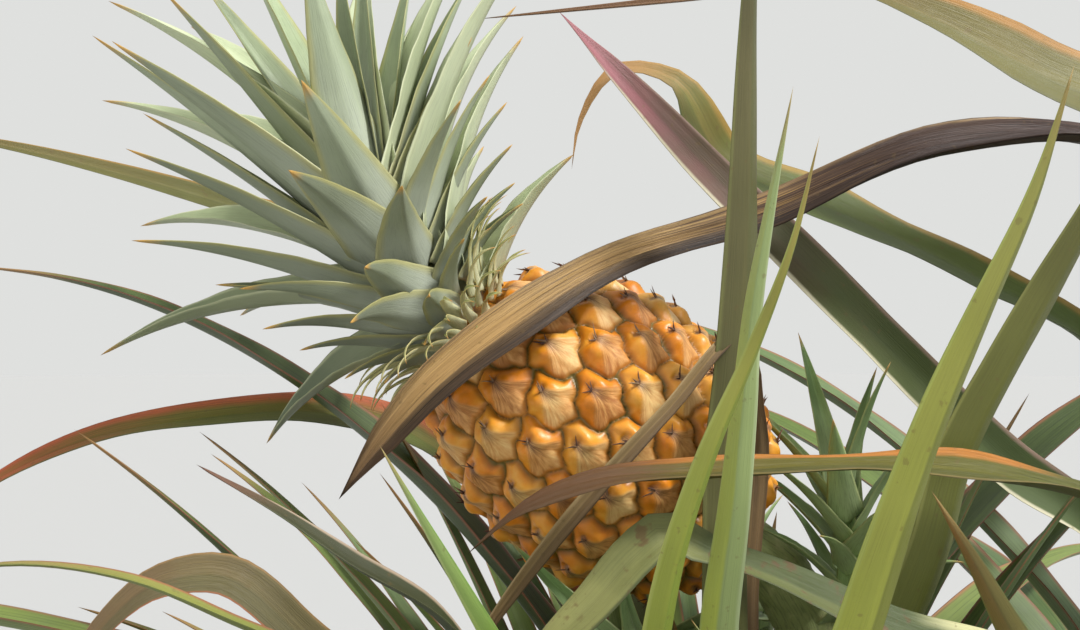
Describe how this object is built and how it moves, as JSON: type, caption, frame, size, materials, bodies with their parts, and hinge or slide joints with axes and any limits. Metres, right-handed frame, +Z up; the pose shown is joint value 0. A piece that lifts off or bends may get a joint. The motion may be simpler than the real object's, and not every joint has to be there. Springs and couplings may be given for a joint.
{
  "type": "pineapple plant",
  "caption": "Pineapple plant: strap leaves in a rosette, a ripe fruit leaning on its stalk under a leafy crown, slips, and a side shoot.",
  "frame": {"origin": "centre of the flat cut through the stem at ground level", "axes": "+Z up; the fruit leans towards -X and is seen from the -Y side; the side shoot is towards +X"},
  "size_m": [1.5238, 1.2948, 0.8287],
  "materials": {
    "crown": "dusty with a whitish bloom",
    "fruit": "satin, waxy",
    "stalk": "satin",
    "dusty": "dusty",
    "olive": "satin",
    "dry": "dry and fibrous",
    "bright": "satin",
    "green": "satin",
    "red": "satin, reddened",
    "bark": "rough, ringed with old leaf bases",
    "slip": "satin, bluish"
  },
  "bodies": {
    "root": {"crown_collar": "crown", "crown_heart": "crown", "crown_low": "crown", "crown_middle": "crown", "fruit": "fruit", "fruit_stalk": "stalk", "leaf_bent": "dusty", "leaf_bent_tip": "dusty", "leaf_broad_back": "olive", "leaf_dry_bent": "dry", "leaf_dry_bent_tip": "dry", "leaf_dry_long": "dry", "leaf_dry_long_tip": "dry", "leaf_folded": "dusty", "leaf_folded_tip": "dusty", "leaf_fore_broad": "bright", "leaf_fore_pair": "bright", "leaf_fore_slim": "bright", "leaf_green_back": "green", "leaf_green_back_tip": "green", "leaf_grey_left": "dusty", "leaf_low_curve": "olive", "leaf_main_1": "green", "leaf_main_10": "green", "leaf_main_11": "green", "leaf_main_12": "green", "leaf_main_13": "green", "leaf_main_14": "green", "leaf_main_15": "green", "leaf_main_2": "green", "leaf_main_3": "green", "leaf_main_4": "green", "leaf_main_5": "green", "leaf_main_6": "green", "leaf_main_7": "green", "leaf_main_8": "green", "leaf_main_9": "green", "leaf_olive_high": "olive", "leaf_orange": "red", "leaf_orange_tip": "red", "leaf_pink": "red", "leaf_red_edge": "red", "leaf_shoot_1": "green", "leaf_shoot_2": "green", "leaf_shoot_3": "green", "leaf_shoot_4": "green", "leaf_shoot_5": "green", "leaf_shoot_6": "green", "leaf_shoot_7": "green", "leaf_shoot_8": "green", "leaf_short_spear": "olive", "leaf_spear": "bright", "leaf_top_right": "olive", "leaf_top_right_tip": "olive", "leaf_upright": "olive", "shoot_stem": "bark", "slip_back": "slip", "slip_front": "slip", "slip_right": "slip", "stem": "bark"}
  },
  "joints": []
}
